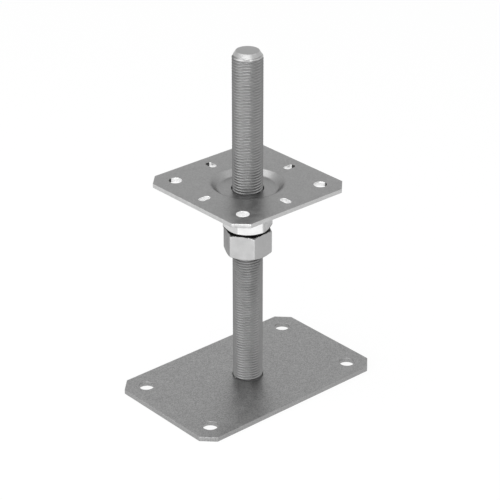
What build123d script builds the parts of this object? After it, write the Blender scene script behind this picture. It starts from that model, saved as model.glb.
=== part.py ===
from build123d import *
from math import radians, sqrt, tan
import os

# An adjustable pedestal support. A drilled base plate carries an upright threaded rod. A nut on
# the rod lifts a hexagon sleeve, and the sleeve lifts a dished head plate that the rod's end
# stands through. All sizes are in millimetres. +Z is up, and the origin lies on the rod's axis
# at the underside of the base plate, with the plate's long side along X.

# Base plate
base_length = 160.0
base_width = 100.0
base_thickness = 3.5
base_corner_cut = 9.0
base_hole_diameter = 11.0
base_hole_spacing_x = 130.0
base_hole_spacing_y = 70.0
weld_bevel = 0.5

# Threaded rod, measured over the crests of its thread
rod_diameter = 21.2
rod_length = 251.0
rod_point_length = 4.0
rod_point_diameter = 15.9

# Nut and sleeve, both of the same hexagon bar size
across_flats = 30.2
hexagon_bevel_angle = 30.0
bearing_face_diameter = 28.8
bore_bevel = 0.9
running_clearance = 0.1
nut_height = 18.6
nut_underside = 102.4
nut_corner_angle = 4.0
sleeve_height = 27.0
sleeve_corner_angle = 26.0

# Head plate
head_side = 100.0
head_thickness = 3.0
head_corner_cut = 9.0
head_hole_diameter = 9.0
head_hole_spacing = 70.0
head_slot_length = 9.0
head_slot_width = 5.0
head_slot_spacing = 77.0
dish_rim_diameter = 50.4
dish_floor_diameter = 42.0
dish_depth = 4.0
dish_bend_radius = 2.5
head_rod_clearance = 0.6

# Where the pieces stand on each other
sleeve_underside = nut_underside + nut_height
sleeve_top = sleeve_underside + sleeve_height
head_top = sleeve_top + head_thickness + dish_depth
head_underside = head_top - head_thickness

rod_radius = rod_diameter / 2
guide_radius = rod_radius + running_clearance

os.makedirs("parts", exist_ok=True)


def hexagon_piece(underside, height, corner_angle):
    """A bored hexagon with its corners turned off at both ends, as a nut blank is made."""
    corner_radius = across_flats / sqrt(3)
    bearing_radius = bearing_face_diameter / 2
    corner_drop = (corner_radius - bearing_radius) * tan(radians(hexagon_bevel_angle))
    top = underside + height
    with BuildPart() as piece:
        with BuildSketch(Plane.XY.offset(underside)):
            RegularPolygon(across_flats / 2, 6, major_radius=False, rotation=corner_angle)
        extrude(amount=height)
        # The turned shape that the hexagon bar is cut down to: a cylinder over the corners,
        # closed by a shallow cone at each end.
        with BuildSketch(Plane.XZ):
            Polygon(
                (0, underside),
                (bearing_radius, underside),
                (corner_radius, underside + corner_drop),
                (corner_radius, top - corner_drop),
                (bearing_radius, top),
                (0, top),
                align=None,
            )
        revolve(axis=Axis.Z, mode=Mode.INTERSECT)
        with Locations((0, 0, underside + height / 2)):
            Hole(guide_radius)
        bore_rims = piece.edges().filter_by(GeomType.CIRCLE).filter_by(
            lambda edge: abs(edge.radius - guide_radius) < running_clearance / 2
        )
        chamfer(bore_rims, length=bore_bevel)
    return piece


# Base plate: one sheet with its corners cut off, drilled, and bevelled round the rod for the weld.
with BuildPart() as base_plate:
    with BuildSketch() as base_outline:
        Rectangle(base_length, base_width)
        chamfer(base_outline.vertices(), length=base_corner_cut)
        with GridLocations(base_hole_spacing_x, base_hole_spacing_y, 2, 2):
            Circle(base_hole_diameter / 2, mode=Mode.SUBTRACT)
        Circle(rod_radius, mode=Mode.SUBTRACT)
    extrude(amount=base_thickness)
    weld_rim = base_plate.faces().sort_by(Axis.Z)[-1].inner_wires().sort_by_distance((0, 0, 0))[0]
    chamfer(weld_rim.edges(), length=weld_bevel)

# Threaded rod: a plain bar over the thread's crests, turned to a long point at the top. Its foot
# stands flush with the underside of the base plate.
with BuildPart() as threaded_rod:
    with BuildSketch(Plane.XZ):
        Polygon(
            (0, 0),
            (rod_radius, 0),
            (rod_radius, rod_length - rod_point_length),
            (rod_point_diameter / 2, rod_length),
            (0, rod_length),
            align=None,
        )
    revolve(axis=Axis.Z)

# Head plate: one sheet, pressed down into a dish round the rod. The dish's wall keeps the sheet's
# thickness, so the corners of its underside lie further out than those of its upper side.
dish_wall_run = (dish_rim_diameter - dish_floor_diameter) / 2
wall_slope = Vector(dish_wall_run, dish_depth).get_angle(Vector(1, 0))
underside_shift = head_thickness * tan(radians(wall_slope / 2))
dish_hole_radius = rod_radius + head_rod_clearance
rim_radius = dish_rim_diameter / 2
floor_radius = dish_floor_diameter / 2
seam_radius = rim_radius + underside_shift + dish_bend_radius
dish_floor_top = head_top - dish_depth

with BuildPart() as head_plate:
    with BuildSketch(Plane.XY.offset(head_underside)) as head_outline:
        Rectangle(head_side, head_side)
        chamfer(head_outline.vertices(), length=head_corner_cut)
        with GridLocations(head_hole_spacing, head_hole_spacing, 2, 2):
            Circle(head_hole_diameter / 2, mode=Mode.SUBTRACT)
        with PolarLocations(head_slot_spacing / 2, 4):
            SlotOverall(head_slot_length, head_slot_width, mode=Mode.SUBTRACT)
        Circle(seam_radius, mode=Mode.SUBTRACT)
    extrude(amount=head_thickness)
    with BuildSketch(Plane.XZ) as dish_section:
        with BuildLine() as dish_wall:
            upper_side = FilletPolyline(
                (dish_hole_radius, dish_floor_top),
                (floor_radius, dish_floor_top),
                (rim_radius, head_top),
                (seam_radius, head_top),
                radius=dish_bend_radius,
            )
            lower_side = FilletPolyline(
                (seam_radius, head_underside),
                (rim_radius + underside_shift, head_underside),
                (floor_radius + underside_shift, sleeve_top),
                (dish_hole_radius, sleeve_top),
                radius=dish_bend_radius,
            )
            Line(upper_side @ 1, lower_side @ 0)
            Line(lower_side @ 1, upper_side @ 0)
        make_face()
    revolve(axis=Axis.Z)

adjusting_nut = hexagon_piece(nut_underside, nut_height, nut_corner_angle)
hexagon_sleeve = hexagon_piece(sleeve_underside, sleeve_height, sleeve_corner_angle)

for name, piece in {
    "base_plate": base_plate,
    "threaded_rod": threaded_rod,
    "adjusting_nut": adjusting_nut,
    "hexagon_sleeve": hexagon_sleeve,
    "head_plate": head_plate,
}.items():
    piece.part.label = name
    export_step(piece.part, f"parts/{name}.step")
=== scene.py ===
from math import atan, cos, hypot, pi, radians, sin, sqrt, tan

import bmesh
import bpy
import numpy as np
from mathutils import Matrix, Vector


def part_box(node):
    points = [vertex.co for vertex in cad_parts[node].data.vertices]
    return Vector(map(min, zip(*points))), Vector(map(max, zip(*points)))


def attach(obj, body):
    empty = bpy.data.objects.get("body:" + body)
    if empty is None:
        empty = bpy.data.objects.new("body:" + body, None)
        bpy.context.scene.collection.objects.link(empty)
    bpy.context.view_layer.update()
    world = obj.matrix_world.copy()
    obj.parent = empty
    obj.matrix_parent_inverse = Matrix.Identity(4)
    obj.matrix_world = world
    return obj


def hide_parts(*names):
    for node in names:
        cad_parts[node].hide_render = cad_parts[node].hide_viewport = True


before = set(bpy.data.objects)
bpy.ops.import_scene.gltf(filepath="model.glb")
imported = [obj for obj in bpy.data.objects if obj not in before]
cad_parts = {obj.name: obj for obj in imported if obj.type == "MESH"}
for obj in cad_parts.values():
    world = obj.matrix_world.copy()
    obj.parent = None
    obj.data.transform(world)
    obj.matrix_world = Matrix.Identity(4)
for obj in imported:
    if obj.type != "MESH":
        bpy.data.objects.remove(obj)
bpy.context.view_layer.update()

# Base plate
# A flat steel sheet, cut to shape and drilled for four anchors, then zinc dipped. Its corners are
# cut off at 45 degrees, and the bevel round its middle hole takes the weld of the rod.
MM = 0.001
base_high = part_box("base_plate")[1]
corner_cut = 9.0 * MM
edge_round = 0.2 * MM
base_hole_radius = 5.5 * MM
base_hole_x, base_hole_y = 65.0 * MM, 35.0 * MM
weld_bevel = 0.5 * MM
weld_bevel_lean = 45
lean_room = 15
rod_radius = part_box("threaded_rod")[1].x
# The sheet's mesh is a cell round each hole and one round the rod. The middle cell reaches this far
# along x and y. Edges that bend by more degrees than the crease stay sharp.
base_cell_x, base_cell_y = 50.0 * MM, 20.0 * MM
side_points = 24
arc_steps = 4
merge_distance = 0.002 * MM
sheet_crease = 38


def closed_path(corners):
    """The corners joined by straight sides, each shared out evenly: a corner plus a share of the
    way to the next one."""
    corners = np.array(corners, float)
    share = np.arange(side_points)[None, :, None] / side_points
    way = np.roll(corners, -1, axis=0) - corners
    return (corners[:, None] + share * way[:, None]).reshape(-1, 2)


def sheet_quarter(half_x, half_y, cell_x, cell_y, inset):
    """The corners of the sheet's outline in its first quarter, from the right side to the far side:
    a cell's border, both ends of the cut, and the other border, all moved inwards by the inset."""
    x, y = half_x - inset, half_y - inset
    slant = corner_cut - inset * (2 - sqrt(2))
    return [(x, cell_y), (x, y - slant), (x - slant, y), (cell_x, y)]


def in_quarter(corners, side_x, side_y):
    """The corners mirrored into another quarter of the sheet, still anticlockwise."""
    turned = [(side_x * x, side_y * y) for x, y in corners]
    return turned if side_x * side_y > 0 else turned[::-1]


def outline(half_x, half_y, cell_x, cell_y, inset):
    """The whole outline, anticlockwise: the four quarters one after the other."""
    quarter = sheet_quarter(half_x, half_y, cell_x, cell_y, inset)
    sides = [(1, 1), (-1, 1), (-1, -1), (1, -1)]
    return closed_path([point for side in sides for point in in_quarter(quarter, *side)])


def round_hole(angle, reach):
    """A circle: the reach along each direction."""
    return reach * np.column_stack([np.cos(angle), np.sin(angle)])


def at_height(path, height):
    """The flat path lifted to a height."""
    return np.column_stack([path, np.full(len(path), height)])


def holed_cell(border, centre, rim, levels, low, high):
    """One cell of a sheet with a hole, as a closed grid. Its rows start at the cell's border on the
    upper side, go in to the rim, down through the hole, and out to the border on the underside.
    A rim row has one point in the direction of each border point."""
    around = border - centre
    angle = np.arctan2(around[:, 1], around[:, 0])
    rows = [at_height(centre + rim(angle, reach), height) for reach, height in levels]
    return np.array([at_height(border, high)] + rows + [at_height(border, low)])


def lip_levels(reach, low, high):
    """Reach and height down through a drilled hole: a quarter circle at each lip with the straight
    wall between them, and a row just outside each lip that keeps the sheet flat."""
    turn = np.linspace(0, pi / 2, arc_steps + 1)
    upper = [(reach + edge_round * (1 - sin(t)), high - edge_round * (1 - cos(t))) for t in turn]
    lower = [(out, low + high - height) for out, height in upper[::-1]]
    support = reach + 2 * edge_round
    return [(support, high)] + upper + lower + [(support, low)]


def plain_cell(x, y, height, facing):
    """A flat cell with no hole: even steps along x and y. Facing is 1 for the upper side and -1
    for the underside."""
    across = np.linspace(*x[::facing], side_points + 1)
    along = np.linspace(*y, side_points + 1)
    at_x, at_y = np.meshgrid(across, along)
    return np.dstack([at_x, at_y, np.full_like(at_x, height)])


def sheet_rim(half_x, half_y, cell_x, cell_y, low, high):
    """The sheet's outer edge: its outline carried up from the underside, round a quarter circle,
    up the wall and round a quarter circle to the upper side."""
    turn = np.linspace(0, pi / 2, arc_steps + 1)
    upper = [(edge_round * (1 - cos(t)), high - edge_round * (1 - sin(t))) for t in turn]
    lower = [(inset, low + high - height) for inset, height in upper[::-1]]
    return np.array(
        [
            at_height(outline(half_x, half_y, cell_x, cell_y, inset), height)
            for inset, height in lower + upper
        ]
    )


def grid_piece(name, closed_grids, open_grids, crease):
    """One mesh out of grids of points. Each grid gives a four-sided face between neighbouring rows
    and columns, and a closed grid's last column also joins its first. Points that meet are merged,
    and edges that bend by more degrees than the crease stay sharp."""
    points, faces, start = [], [], 0
    for closed, grids in ((True, closed_grids), (False, open_grids)):
        for grid in grids:
            index = start + np.arange(grid.shape[0] * grid.shape[1]).reshape(grid.shape[:2])
            start += index.size
            if closed:
                index = np.hstack([index, index[:, :1]])
            ring = [index[:-1, :-1], index[:-1, 1:], index[1:, 1:], index[1:, :-1]]
            points.append(grid.reshape(-1, 3))
            faces.append(np.stack(ring, axis=-1).reshape(-1, 4))
    mesh = bpy.data.meshes.new(name)
    mesh.from_pydata(np.concatenate(points).tolist(), [], np.concatenate(faces).tolist())
    merged = bmesh.new()
    merged.from_mesh(mesh)
    bmesh.ops.remove_doubles(merged, verts=merged.verts, dist=merge_distance)
    merged.to_mesh(mesh)
    merged.free()
    mesh.shade_smooth()
    mesh.set_sharp_from_angle(angle=radians(crease))
    piece = bpy.data.objects.new(name, mesh)
    bpy.context.scene.collection.objects.link(piece)
    return piece


def sheet_cells(half_x, half_y, cell_x, cell_y, hole_x, hole_y, levels, low, high):
    """The four corner cells of a sheet, each with its round hole."""
    quarter = sheet_quarter(half_x, half_y, cell_x, cell_y, edge_round) + [(cell_x, cell_y)]
    cells = []
    for side in ((1, 1), (-1, 1), (-1, -1), (1, -1)):
        centre = np.array([side[0] * hole_x, side[1] * hole_y])
        border = closed_path(in_quarter(quarter, *side))
        cells.append(holed_cell(border, centre, round_hole, levels, low, high))
    return cells


def box_path(x, y):
    """A rectangle's border, anticlockwise."""
    return closed_path([(x[0], y[0]), (x[1], y[0]), (x[1], y[1]), (x[0], y[1])])


base_cells = sheet_cells(
    base_high.x, base_high.y, base_cell_x, base_cell_y, base_hole_x, base_hole_y,
    lip_levels(base_hole_radius, 0, base_high.z), 0, base_high.z,
)
weld_levels = [
    (rod_radius + 2 * weld_bevel, base_high.z),
    (rod_radius + weld_bevel, base_high.z),
    (rod_radius, base_high.z - weld_bevel),
    (rod_radius, 0),
]
base_middle = box_path((-base_cell_x, base_cell_x), (-base_cell_y, base_cell_y))
base_cells.append(holed_cell(base_middle, np.zeros(2), round_hole, weld_levels, 0, base_high.z))
base_inner_x, base_inner_y = base_high.x - edge_round, base_high.y - edge_round
base_plain = [
    plain_cell(x, y, height, facing)
    for height, facing in ((base_high.z, 1), (0, -1))
    for x, y in (
        ((-base_cell_x, base_cell_x), (base_cell_y, base_inner_y)),
        ((-base_cell_x, base_cell_x), (-base_inner_y, -base_cell_y)),
        ((base_cell_x, base_inner_x), (-base_cell_y, base_cell_y)),
        ((-base_inner_x, -base_cell_x), (-base_cell_y, base_cell_y)),
    )
]
base_cells.append(sheet_rim(base_high.x, base_high.y, base_cell_x, base_cell_y, 0, base_high.z))
base_sheet = grid_piece("base_sheet", base_cells, base_plain, sheet_crease)


def zinc(name, shade, roughness, grain, upright_shade=None, grazing=1.0):
    """Zinc coated steel of a grey shade. Shade and roughness wander a little over patches some
    millimetres wide, and a fine grain lies over the shade and the height. Faces that stand upright,
    such as a sheet's cut edges, may have a shade of their own. Grazing is how much of the shine is
    left near the outline."""
    upright_shade = shade if upright_shade is None else upright_shade
    patch_scale, patch_detail, wander = 160, 3, 0.05
    speck_scale, speck_detail = 1300, 2
    speck_height, bump_strength = 0.02 * MM, 0.5
    noise_low, noise_high = 0.3, 0.7
    level_from, upright_from = 0.95, 0.6
    material = bpy.data.materials.new(name)
    material.use_nodes = True
    nodes, links = material.node_tree.nodes, material.node_tree.links
    shader = nodes["Principled BSDF"]
    shader.inputs["Metallic"].default_value = 1.0
    shader.inputs["Specular Tint"].default_value = (grazing, grazing, grazing, 1)
    place = nodes.new("ShaderNodeTexCoord")
    patches = nodes.new("ShaderNodeTexNoise")
    patches.inputs["Scale"].default_value = patch_scale
    patches.inputs["Detail"].default_value = patch_detail
    specks = nodes.new("ShaderNodeTexNoise")
    specks.inputs["Scale"].default_value = speck_scale
    specks.inputs["Detail"].default_value = speck_detail
    links.new(place.outputs["Object"], patches.inputs["Vector"])
    links.new(place.outputs["Object"], specks.inputs["Vector"])

    def spread(source, middle, reach):
        """The stretch in which the noise lies, mapped to a range that reaches as far below a middle
        as above it."""
        node = nodes.new("ShaderNodeMapRange")
        node.inputs["From Min"].default_value = noise_low
        node.inputs["From Max"].default_value = noise_high
        node.inputs["To Min"].default_value = middle - reach
        node.inputs["To Max"].default_value = middle + reach
        links.new(source, node.inputs["Value"])
        return node.outputs["Result"]

    def product(first, second):
        """Two values multiplied."""
        node = nodes.new("ShaderNodeMath")
        node.operation = "MULTIPLY"
        links.new(first, node.inputs[0])
        links.new(second, node.inputs[1])
        return node.outputs["Value"]

    tone = product(
        spread(patches.outputs["Fac"], 1, wander), spread(specks.outputs["Fac"], 1, grain)
    )
    upward = nodes.new("ShaderNodeSeparateXYZ")
    links.new(place.outputs["Normal"], upward.inputs["Vector"])
    level = nodes.new("ShaderNodeMath")
    level.operation = "ABSOLUTE"
    links.new(upward.outputs["Z"], level.inputs[0])
    cut = nodes.new("ShaderNodeMapRange")
    cut.inputs["From Min"].default_value = level_from
    cut.inputs["From Max"].default_value = upright_from
    links.new(level.outputs["Value"], cut.inputs["Value"])
    base = nodes.new("ShaderNodeMix")
    base.data_type = "RGBA"
    base.inputs["A"].default_value = (shade, shade, shade, 1)
    base.inputs["B"].default_value = (upright_shade, upright_shade, upright_shade, 1)
    links.new(cut.outputs["Result"], base.inputs["Factor"])
    toned = nodes.new("ShaderNodeVectorMath")
    toned.operation = "SCALE"
    links.new(base.outputs["Result"], toned.inputs[0])
    links.new(tone, toned.inputs["Scale"])
    links.new(toned.outputs["Vector"], shader.inputs["Base Color"])
    links.new(spread(patches.outputs["Fac"], roughness, wander), shader.inputs["Roughness"])
    bump = nodes.new("ShaderNodeBump")
    bump.inputs["Strength"].default_value = bump_strength
    bump.inputs["Distance"].default_value = speck_height
    links.new(specks.outputs["Fac"], bump.inputs["Height"])
    links.new(bump.outputs["Normal"], shader.inputs["Normal"])
    return material


def finish_faces(piece, material, chosen):
    """A second finish for some faces of a piece. Chosen takes the faces' centres and normals and
    says for each face whether it gets the finish."""
    faces = piece.data.polygons
    centres, normals = np.empty(3 * len(faces)), np.empty(3 * len(faces))
    finishes = np.empty(len(faces), dtype=np.int32)
    faces.foreach_get("center", centres)
    faces.foreach_get("normal", normals)
    faces.foreach_get("material_index", finishes)
    finishes[chosen(centres.reshape(-1, 3), normals.reshape(-1, 3))] = len(piece.data.materials)
    piece.data.materials.append(material)
    faces.foreach_set("material_index", finishes)


def reach_of(centres):
    """How far each face lies from the rod's axis."""
    return np.hypot(centres[:, 0], centres[:, 1])


def lean_of(normals):
    """How far each face leans from level, in degrees: 0 looks up, 90 stands upright and 180 looks
    down."""
    return np.degrees(np.arccos(np.clip(normals[:, 2], -1, 1)))


def weld_bevel_faces(centres, normals):
    """The sloping bevel round the rod."""
    sloping = np.abs(lean_of(normals) - weld_bevel_lean) < lean_room
    return (reach_of(centres) < rod_radius + weld_bevel) & sloping


base_sheet.data.materials.append(
    zinc("base_zinc", shade=0.31, upright_shade=0.33, roughness=0.44, grain=0.25)
)
# Painted shade: the weld bevel and the rod's foot are coloured nearly black where shade falls round
# the rod.
foot_shade = zinc("foot_shade_zinc", shade=0.1, roughness=0.5, grain=0.2)
finish_faces(base_sheet, foot_shade, weld_bevel_faces)
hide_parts("base_plate")
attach(base_sheet, "base")

# Threaded rod
# A steel bar with a fine rolled thread over its whole length, welded into the base plate. Its upper
# end is turned down to a long point, which cuts the last turns of the thread away.
pitch = 2.0 * MM
thread_depth = 0.8 * MM
rod_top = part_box("threaded_rod")[1].z
point_length = 4.0 * MM
point_drop = 2.65 * MM
thread_start = 1.5 * MM
thread_turns = 123
turn_steps = 64
foot_bevel = 0.4 * MM
end_round = 0.3 * MM
# How far up the rod the painted shade at its foot reaches.
foot_shade_height = 0.9 * MM
turned_lean = 60
rod_crease = 40
# One turn of the thread: places across the pitch, as shares of it, from crest to crest, and the
# share of the thread's depth that is cut away there. The root between the flanks is a little round.
across_pitch = np.array([0, 0.12, 0.43, 0.56, 0.69, 1.0])
thread_shape = np.array([0, 0, 1, 1.06, 1, 0])


def thread_reach(across, turn, height):
    """Distance from the rod's axis: the crest's radius less the thread's depth at that place across
    the pitch, which grows over the first half turn, and never more than the point's cone leaves."""
    grown = np.clip(2 * turn, 0, 1)
    depth = thread_depth * np.interp(across, across_pitch, thread_shape) * grown
    above_full_thread = np.clip(height - (rod_top - point_length), 0, None)
    cone = rod_radius - above_full_thread * point_drop / point_length
    return np.minimum(rod_radius - depth, cone)


def round_bar(reach, turn, height):
    """Points round the rod's axis: the reach turned by the share of a whole turn, at a height."""
    angle = 2 * pi * turn
    return np.dstack(np.broadcast_arrays(reach * np.cos(angle), reach * np.sin(angle), height))


turn = np.arange(thread_turns * turn_steps + 1)[None, :] / turn_steps
across = across_pitch[:, None]
height = thread_start + pitch * (turn + across)
thread = round_bar(thread_reach(across, turn, height), turn, height)

turn = np.linspace(0, 1, turn_steps + 1)[None, :]
foot_rows = [(0, 0), (rod_radius - foot_bevel, 0), (rod_radius, foot_bevel)]
foot = [round_bar(np.full_like(turn, reach), turn, height) for reach, height in foot_rows]
height = thread_start + pitch * turn * across
foot.append(round_bar(np.full_like(height, rod_radius), turn, height))

thread_end = thread_start + pitch * thread_turns
height = thread_end + pitch * (turn + (1 - turn) * across)
point = [round_bar(thread_reach(0, 1, height), turn, height)]
point_radius = rod_radius - point_drop
slope = atan(point_drop / point_length)
for lean in np.linspace(slope, pi / 2, arc_steps + 1):
    centre_reach = point_radius - end_round * tan((pi / 2 - slope) / 2)
    reach = centre_reach + end_round * cos(lean)
    height = rod_top - end_round + end_round * sin(lean)
    point.append(round_bar(np.full_like(turn, reach), turn, height))
point.append(round_bar(np.zeros_like(turn), turn, rod_top))

rod_grids = [thread, np.concatenate(foot), np.concatenate(point)]
rod = grid_piece("rod_thread", [], rod_grids, rod_crease)
rod.data.materials.append(
    zinc("rod_zinc", shade=0.29, roughness=0.38, grain=0.05, grazing=0.4)
)


def turned_end(centres, normals):
    """The faces of the point that look up: its end face, its cone, and the upper flanks of the last
    turns of the thread, which run out in the cone."""
    return (centres[:, 2] > rod_top - point_length) & (lean_of(normals) < turned_lean)


def shaded_foot(centres, normals):
    """The stretch of the rod at the base plate's upper side, painted dark as the shade at its foot.
    """
    height = centres[:, 2] - base_high.z
    return (height > -weld_bevel) & (height < foot_shade_height)


# The rod's foot gets the same painted shade as the weld bevel.
finish_faces(rod, foot_shade, shaded_foot)
# The point's upward faces are lighter: partly bare turned steel, partly a painted highlight that is
# strongest on the cone.
turned = zinc("turned_zinc_and_highlight", shade=0.35, upright_shade=0.45, roughness=0.36, grain=0.05)
finish_faces(rod, turned, turned_end)
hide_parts("threaded_rod")
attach(rod, "base")

# Adjusting nut
# A hexagon nut of zinc plated steel that turns on the rod's thread and carries all that is above
# it. Its corners are turned off at both ends, and its upright edges are a little round.
across_flats = 30.2 * MM
bearing_radius = 14.4 * MM
bevel_angle = 30
corner_round = 1.0 * MM
rim_round = 0.5 * MM
bore_bevel = 0.9 * MM
running_clearance = 0.1 * MM
bore_radius = rod_radius + running_clearance
nut_corner_angle = 4.0
joint_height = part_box("adjusting_nut")[1].z
# How far past the flats the painted shade of the joint reaches.
joint_shade_width = 0.4 * MM
bevel_height = 2.2 * MM
# How far up and down from the joint the painted shade reaches on the sleeve's sides.
joint_shade_height = 2.6 * MM
upright_room = 5
# The hexagon's mesh: directions over half a flat, in degrees from the corner, and how far out
# between the bearing face and the side the bevel has its middle row.
half_flat = 30
flat_directions = np.radians([half_flat, 25, 20, 15, 10, 6, 3, 1.8])
bevel_row = 0.65
hexagon_crease = 25


def hexagon_reach(away):
    """Distance from the axis to a hexagon's side, for directions given by their angle away from the
    nearest corner: the flat's distance over the cosine to its middle, or near the corner a circle
    of the corner's rounding that touches both flats. Also gives the angle where they touch."""
    flat = across_flats / 2 / np.cos(radians(half_flat) - np.abs(away))
    centre = (across_flats / 2 - corner_round) / cos(radians(half_flat))
    touch = atan(corner_round / 2 / (centre + corner_round * cos(radians(half_flat))))
    inside = np.clip(corner_round**2 - (centre * np.sin(away)) ** 2, 0, None)
    arc = centre * np.cos(away) + np.sqrt(inside)
    return np.where(np.abs(away) < touch, arc, flat), touch


def hexagon_piece(name, node, corner_angle):
    """A bored hexagon between the node's lowest and highest point: its section carried round the
    axis, out along the underside, up the side, in along the upper face and down the bore. The
    bevel meets the side in an arc that touches both, and a row beyond it bounds the joint's painted
    shade."""
    low, high = (corner.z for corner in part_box(node))
    _, touch = hexagon_reach(np.zeros(1))
    near_corner = [-touch, -touch / 2, 0, touch / 2, touch]
    away = np.concatenate([-flat_directions, near_corner, flat_directions[:0:-1]])
    reach, _ = hexagon_reach(away)
    corners = np.radians(corner_angle + 2 * half_flat * np.arange(6))
    angle = (corners[:, None] + away).ravel()
    reach = np.tile(reach, 6)
    drop = (reach - bearing_radius) * tan(radians(bevel_angle))
    arc_rise = rim_round * tan(radians((90 - bevel_angle) / 2))
    same = np.ones_like(reach)
    lower = [((bore_radius + bore_bevel) * same, 0 * same), (bearing_radius * same, 0 * same)]
    lower.append((bevel_row * reach + (1 - bevel_row) * bearing_radius, bevel_row * drop))
    for lean in np.linspace(radians(bevel_angle - 90), 0, arc_steps + 1):
        out = reach - rim_round * (1 - cos(lean))
        lower.append((out, drop + arc_rise + rim_round * sin(lean)))
    lower.append((reach, drop + arc_rise + joint_shade_width))
    section = [(out, low + up) for out, up in lower]
    section += [(out, high - up) for out, up in lower[::-1]]
    section += [(bore_radius * same, (high - bore_bevel) * same)]
    section += [(bore_radius * same, (low + bore_bevel) * same)]
    section += section[:1]
    rows = [np.column_stack([out * np.cos(angle), out * np.sin(angle), up]) for out, up in section]
    return grid_piece(name, [np.array(rows)], [], hexagon_crease)


nut = hexagon_piece("nut", "adjusting_nut", nut_corner_angle)
nut.data.materials.append(
    zinc("nut_zinc", shade=0.45, roughness=0.5, grain=0.03, grazing=0.3)
)


def upright(normals):
    """The faces that stand upright, give or take a few degrees."""
    return np.abs(lean_of(normals) - 90) < upright_room


def joint_bevels(centres, normals):
    """The bearing faces and bevels where the nut and the sleeve meet: all of those that look down,
    and those that look up as far out as the flats."""
    at_joint = np.abs(centres[:, 2] - joint_height) < bevel_height
    on_flat = reach_of(centres) < across_flats / 2 + joint_shade_width
    return at_joint & ~upright(normals) & (on_flat | (lean_of(normals) > 90))


def shaded_joint_rim(centres, normals):
    """The joint's bearing faces and bevels, and the lowest part of the sleeve's sides, all painted
    dark as the shade between the nut and the sleeve.
    """
    rim = np.abs(centres[:, 2] - joint_height) < joint_shade_height
    side = upright(normals) & (reach_of(centres) > bore_radius + bore_bevel)
    return joint_bevels(centres, normals) | (rim & side)


def highlit_corners(centres, normals):
    """The rounded upright edges, painted lighter as a highlight: steep faces that are turned a
    little from both flats beside them. Away is the angle from the nearest corner to where a face
    looks."""
    flat_room = 2
    angle = np.degrees(np.arctan2(normals[:, 1], normals[:, 0])) - nut_corner_angle
    away = np.abs((angle + half_flat) % (2 * half_flat) - half_flat)
    steep = np.abs(lean_of(normals) - 90) < lean_room
    return steep & (away < half_flat - flat_room)


# Painted shade: the joint between the nut and the sleeve is coloured nearly black where shade falls
# in the gap.
joint_shade = zinc("joint_shade_zinc", shade=0.02, roughness=0.5, grain=0.03)
finish_faces(nut, joint_shade, joint_bevels)
# Painted highlight: the nut's rounded upright edges are coloured lighter than its flats.
corner_highlight = zinc("corner_highlight_zinc", shade=0.52, roughness=0.4, grain=0.03, grazing=0.5)
finish_faces(nut, corner_highlight, highlit_corners)
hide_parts("adjusting_nut")
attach(nut, "nut")

# Hexagon sleeve
# A longer piece of the same hexagon bar with a plain bore, standing loose on the nut. The head
# plate's dish rests on its upper face.
sleeve_corner_angle = 26.0
sleeve = hexagon_piece("sleeve", "hexagon_sleeve", sleeve_corner_angle)
sleeve.data.materials.append(
    zinc("sleeve_zinc", shade=0.7, roughness=0.5, grain=0.02, grazing=0.0)
)
# The sleeve's side of the joint gets the same painted shade.
finish_faces(sleeve, joint_shade, shaded_joint_rim)
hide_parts("hexagon_sleeve")
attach(sleeve, "sleeve")

# Head plate
# A square steel sheet with a round dish pressed into its middle, where it sits on the sleeve round
# the rod. It has a hole in each corner and a slot in each side for the screws of the post above.
head_low, head_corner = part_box("head_plate")
dish_underside, head_top = head_low.z, head_corner.z
head_thickness = 3.0 * MM
head_underside = head_top - head_thickness
head_hole_radius = 4.5 * MM
head_hole_place = 35.0 * MM
slot_place = 38.5 * MM
slot_half_length = 4.5 * MM
slot_radius = 2.5 * MM
dish_rim_radius = 25.2 * MM
dish_floor_radius = 21.0 * MM
dish_bend = 2.5 * MM
dish_floor = dish_underside + head_thickness
head_rod_clearance = 0.6 * MM
dish_hole_radius = rod_radius + head_rod_clearance
head_cell = 29.5 * MM
edge_margin = 2.5 * MM


def rounded_line(corners, radius):
    """A bent line of reach and height, each of its inner corners replaced by an arc that touches
    both sides."""
    corners = [np.array(corner, float) for corner in corners]
    line = [corners[0]]
    for before, corner, after in zip(corners, corners[1:], corners[2:]):
        back = (before - corner) / hypot(*(before - corner))
        ahead = (after - corner) / hypot(*(after - corner))
        half = np.arccos(np.clip(back @ ahead, -1, 1)) / 2
        middle = (back + ahead) / hypot(*(back + ahead))
        centre = corner + middle * radius / sin(half)
        start = corner + back * radius / tan(half) - centre
        end = corner + ahead * radius / tan(half) - centre
        for share in np.linspace(0, 1, arc_steps + 2):
            toward = start + share * (end - start)
            line.append(centre + toward * radius / hypot(*toward))
    return line + [corners[-1]]


def slot_along(half_length, direction):
    """A function for the rim of a slot with round ends: for each angle the point where that
    direction meets the slot's straight side, or else its end circle."""
    turned = np.array([[cos(direction), sin(direction)], [-sin(direction), cos(direction)]])

    def rim(angle, reach):
        """The rim's points at a reach from the slot's straight middle line. Along the slot, where
        the straight side is never met, a tiny number keeps its distance finite."""
        tiny = 1e-9
        straight = half_length - slot_radius
        along, across = np.cos(angle - direction), np.sin(angle - direction)
        side = reach / np.maximum(np.abs(across), tiny)
        half_chord = np.sqrt(np.clip(reach**2 - (straight * across) ** 2, 0, None))
        end = straight * np.abs(along) + half_chord
        out = np.where(side * np.abs(along) <= straight, side, end)
        return np.column_stack([out * along, out * across]) @ turned

    return rim


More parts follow.
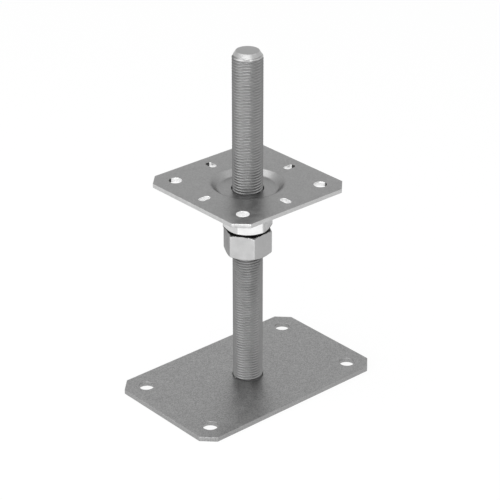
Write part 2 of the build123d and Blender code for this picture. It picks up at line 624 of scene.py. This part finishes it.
head_lips = lip_levels(head_hole_radius, head_underside, head_top)
head_cells = sheet_cells(
    head_corner.x, head_corner.y, head_cell, head_cell, head_hole_place, head_hole_place,
    head_lips, head_underside, head_top,
)
head_inner = head_corner.x - edge_round
slot_levels = lip_levels(slot_radius, head_underside, head_top)
for quarter_turn in range(4):
    direction = quarter_turn * pi / 2
    forward = np.array([cos(direction), sin(direction)])
    left = np.array([-forward[1], forward[0]])
    border = closed_path(
        [
            head_cell * forward - head_cell * left,
            head_inner * forward - head_cell * left,
            head_inner * forward + head_cell * left,
            head_cell * forward + head_cell * left,
        ]
    )
    rim = slot_along(slot_half_length, direction)
    head_cells.append(
        holed_cell(border, slot_place * forward, rim, slot_levels, head_underside, head_top)
    )
wall_angle = atan((head_top - dish_floor) / (dish_rim_radius - dish_floor_radius))
underside_shift = head_thickness * tan(wall_angle / 2)
dish_seam = dish_rim_radius + underside_shift + dish_bend
dish_upper = rounded_line(
    [
        (dish_seam, head_top),
        (dish_rim_radius, head_top),
        (dish_floor_radius, dish_floor),
        (dish_hole_radius + edge_round, dish_floor),
    ],
    dish_bend,
)
dish_lower = rounded_line(
    [
        (dish_hole_radius, dish_underside),
        (dish_floor_radius + underside_shift, dish_underside),
        (dish_rim_radius + underside_shift, head_underside),
        (dish_seam, head_underside),
    ],
    dish_bend,
)
dish_levels = [tuple(level) for level in dish_upper]
dish_levels += [(dish_hole_radius, dish_floor - edge_round)]
dish_levels += [tuple(level) for level in dish_lower]
head_middle = box_path((-head_cell, head_cell), (-head_cell, head_cell))
head_cells.append(
    holed_cell(head_middle, np.zeros(2), round_hole, dish_levels, head_underside, head_top)
)
head_cells.append(
    sheet_rim(head_corner.x, head_corner.y, head_cell, head_cell, head_underside, head_top)
)
head_sheet = grid_piece("head_sheet", head_cells, [], sheet_crease)
# Its upright cut edges are much lighter than its upper side: partly the cut edge's own tone, partly
# painted light.
head_sheet.data.materials.append(
    zinc("head_zinc", shade=0.3, upright_shade=0.52, roughness=0.38, grain=0.14)
)


def punched_walls(centres, normals):
    """The steep walls of the holes and slots: well inside the outer edge and its cut corners, and
    outside the dish."""
    steep_room = 45
    place = np.abs(centres[:, :2])
    inside = place.max(axis=1) < head_corner.x - edge_margin
    off_cut = place.sum(axis=1) < 2 * (head_corner.x - edge_margin) - corner_cut
    steep = np.abs(lean_of(normals) - 90) < steep_room
    return inside & off_cut & (reach_of(centres) > dish_seam) & steep


punched = zinc("punched_zinc", shade=0.9, roughness=0.45, grain=0.02)
finish_faces(head_sheet, punched, punched_walls)


def outer_walls(centres, normals):
    """The part of each hole's and slot's wall that lies furthest out on the plate, painted dark as
    shade: the outward way from the hole's middle, or from the middle of the slot's outer round end,
    within 45 degrees."""
    place = centres[:, :2]
    far = np.abs(place).max(axis=1, keepdims=True) == np.abs(place)
    slot_centre = np.where(far, slot_place + slot_half_length - slot_radius, 0) * np.sign(place)
    at_corner = np.abs(place).min(axis=1, keepdims=True) > head_cell
    centre = np.where(at_corner, head_hole_place * np.sign(place), slot_centre)
    outward = np.abs((place - centre)[:, 0] * centre[:, 1] - (place - centre)[:, 1] * centre[:, 0])
    ahead = ((place - centre) * centre).sum(axis=1)
    return (ahead > outward) & punched_walls(centres, normals)


# Painted shade: the outer walls of the holes and slots are coloured nearly black.
outer_wall_shade = zinc("outer_wall_shade_zinc", shade=0.08, roughness=0.5, grain=0.02)
finish_faces(head_sheet, outer_wall_shade, outer_walls)


def drawn_wall(centres, normals):
    """The dish's upper side where it isn't level: its sloping wall with both bends, and the lip of
    its hole."""
    level_room, steepest = 2, 53
    lean = lean_of(normals)
    return (lean > level_room) & (lean < steepest) & (reach_of(centres) < dish_seam)


drawn = zinc("drawn_zinc", shade=0.34, roughness=0.4, grain=0.08, grazing=0.5)
finish_faces(head_sheet, drawn, drawn_wall)
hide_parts("head_plate")
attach(head_sheet, "head")

# Floor, light and camera
# A wide pale floor that shows white and keeps the object's soft shadow, and an even pale sky. The
# five soft lamps are low in front, low on the left, above the camera, and high on either side.
floor_size = 8.0
floor_drop = 0.05 * MM
floor_shade, floor_roughness = 0.85, 0.9
floor_glow = 0.9
sky_strength = 0.9
bpy.ops.mesh.primitive_plane_add(size=floor_size, location=(0, 0, -floor_drop))
floor = bpy.context.object
floor.name = "floor"
floor_material = bpy.data.materials.new("floor_white")
floor_material.use_nodes = True
floor_nodes, floor_links = floor_material.node_tree.nodes, floor_material.node_tree.links
floor_shader = floor_nodes["Principled BSDF"]
floor_shader.inputs["Base Color"].default_value = (floor_shade, floor_shade, floor_shade, 1)
floor_shader.inputs["Roughness"].default_value = floor_roughness
floor_shader.inputs["Specular IOR Level"].default_value = 0.0
glow = floor_nodes.new("ShaderNodeEmission")
rays = floor_nodes.new("ShaderNodeLightPath")
seen = floor_nodes.new("ShaderNodeMath")
seen.operation = "MAXIMUM"
floor_links.new(rays.outputs["Is Camera Ray"], seen.inputs[0])
floor_links.new(rays.outputs["Is Glossy Ray"], seen.inputs[1])
seen_through = floor_nodes.new("ShaderNodeMath")
seen_through.operation = "MAXIMUM"
floor_links.new(seen.outputs["Value"], seen_through.inputs[0])
floor_links.new(rays.outputs["Is Transmission Ray"], seen_through.inputs[1])
share = floor_nodes.new("ShaderNodeMath")
share.operation = "MULTIPLY"
share.inputs[1].default_value = floor_glow
floor_links.new(seen_through.outputs["Value"], share.inputs[0])
blend = floor_nodes.new("ShaderNodeMixShader")
floor_links.new(share.outputs["Value"], blend.inputs["Fac"])
floor_links.new(floor_shader.outputs["BSDF"], blend.inputs[1])
floor_links.new(glow.outputs["Emission"], blend.inputs[2])
floor_links.new(blend.outputs["Shader"], floor_nodes["Material Output"].inputs["Surface"])
floor.data.materials.append(floor_material)

world = bpy.data.worlds.new("sky")
bpy.context.scene.world = world
world.use_nodes = True
sky = world.node_tree.nodes["Background"]
sky.inputs["Color"].default_value = (1, 1, 1, 1)
sky.inputs["Strength"].default_value = sky_strength

# The camera stands where the photograph was taken from: turned from the front towards the left and
# looking down at the nut's underside, a little to the right of the rod's axis.
camera_azimuth, camera_elevation = radians(-41.35), radians(27.07)
camera_distance = 1.2971
camera_lens, camera_sensor = 134.48, 36
aim_height, aim_right = 103.22 * MM, 1.6 * MM
right = Vector((cos(camera_azimuth), sin(camera_azimuth), 0))
back = Vector(
    (
        sin(camera_azimuth) * cos(camera_elevation),
        -cos(camera_azimuth) * cos(camera_elevation),
        sin(camera_elevation),
    )
)
aim = Vector((0, 0, aim_height)) + right * aim_right
camera = bpy.data.objects.new("camera", bpy.data.cameras.new("camera"))
bpy.context.scene.collection.objects.link(camera)
camera.data.sensor_width = camera_sensor
camera.data.lens = camera_lens
camera.location = aim + back * camera_distance
camera.rotation_mode = "QUATERNION"
camera.rotation_quaternion = (-back).to_track_quat("-Z", "Y")
bpy.context.scene.camera = camera

lamp_distance = 1.3
lamp_aim = Vector((0, 0, 120 * MM))


def soft_lamp(name, turned, elevation, width, height, strength):
    """A flat soft lamp aimed at the nut: turned from the camera's direction, in degrees, at an
    elevation. Strength is the brightness of its surface."""
    bearing = camera_azimuth + radians(turned)
    lean = radians(elevation)
    out = Vector((sin(bearing) * cos(lean), -cos(bearing) * cos(lean), sin(lean)))
    lamp = bpy.data.objects.new(name, bpy.data.lights.new(name, "AREA"))
    lamp.data.shape = "RECTANGLE"
    lamp.data.size = width
    lamp.data.size_y = height
    lamp.data.energy = strength * pi * width * height
    lamp.location = lamp_aim + out * lamp_distance
    lamp.rotation_mode = "QUATERNION"
    lamp.rotation_quaternion = out.to_track_quat("Z", "Y")
    lamp.visible_camera = False
    bpy.context.scene.collection.objects.link(lamp)


soft_lamp("front_lamp", turned=-3, elevation=3, width=1.2, height=0.25, strength=8)
soft_lamp("left_lamp", turned=-54, elevation=8, width=0.7, height=0.5, strength=4.5)
soft_lamp("key_lamp", turned=-8, elevation=40, width=1.6, height=0.7, strength=1.6)
soft_lamp("top_left_lamp", turned=-90, elevation=60, width=0.7, height=0.7, strength=1.9)
soft_lamp("top_right_lamp", turned=90, elevation=60, width=0.7, height=0.7, strength=0.7)

bpy.context.scene.view_settings.view_transform = "Standard"
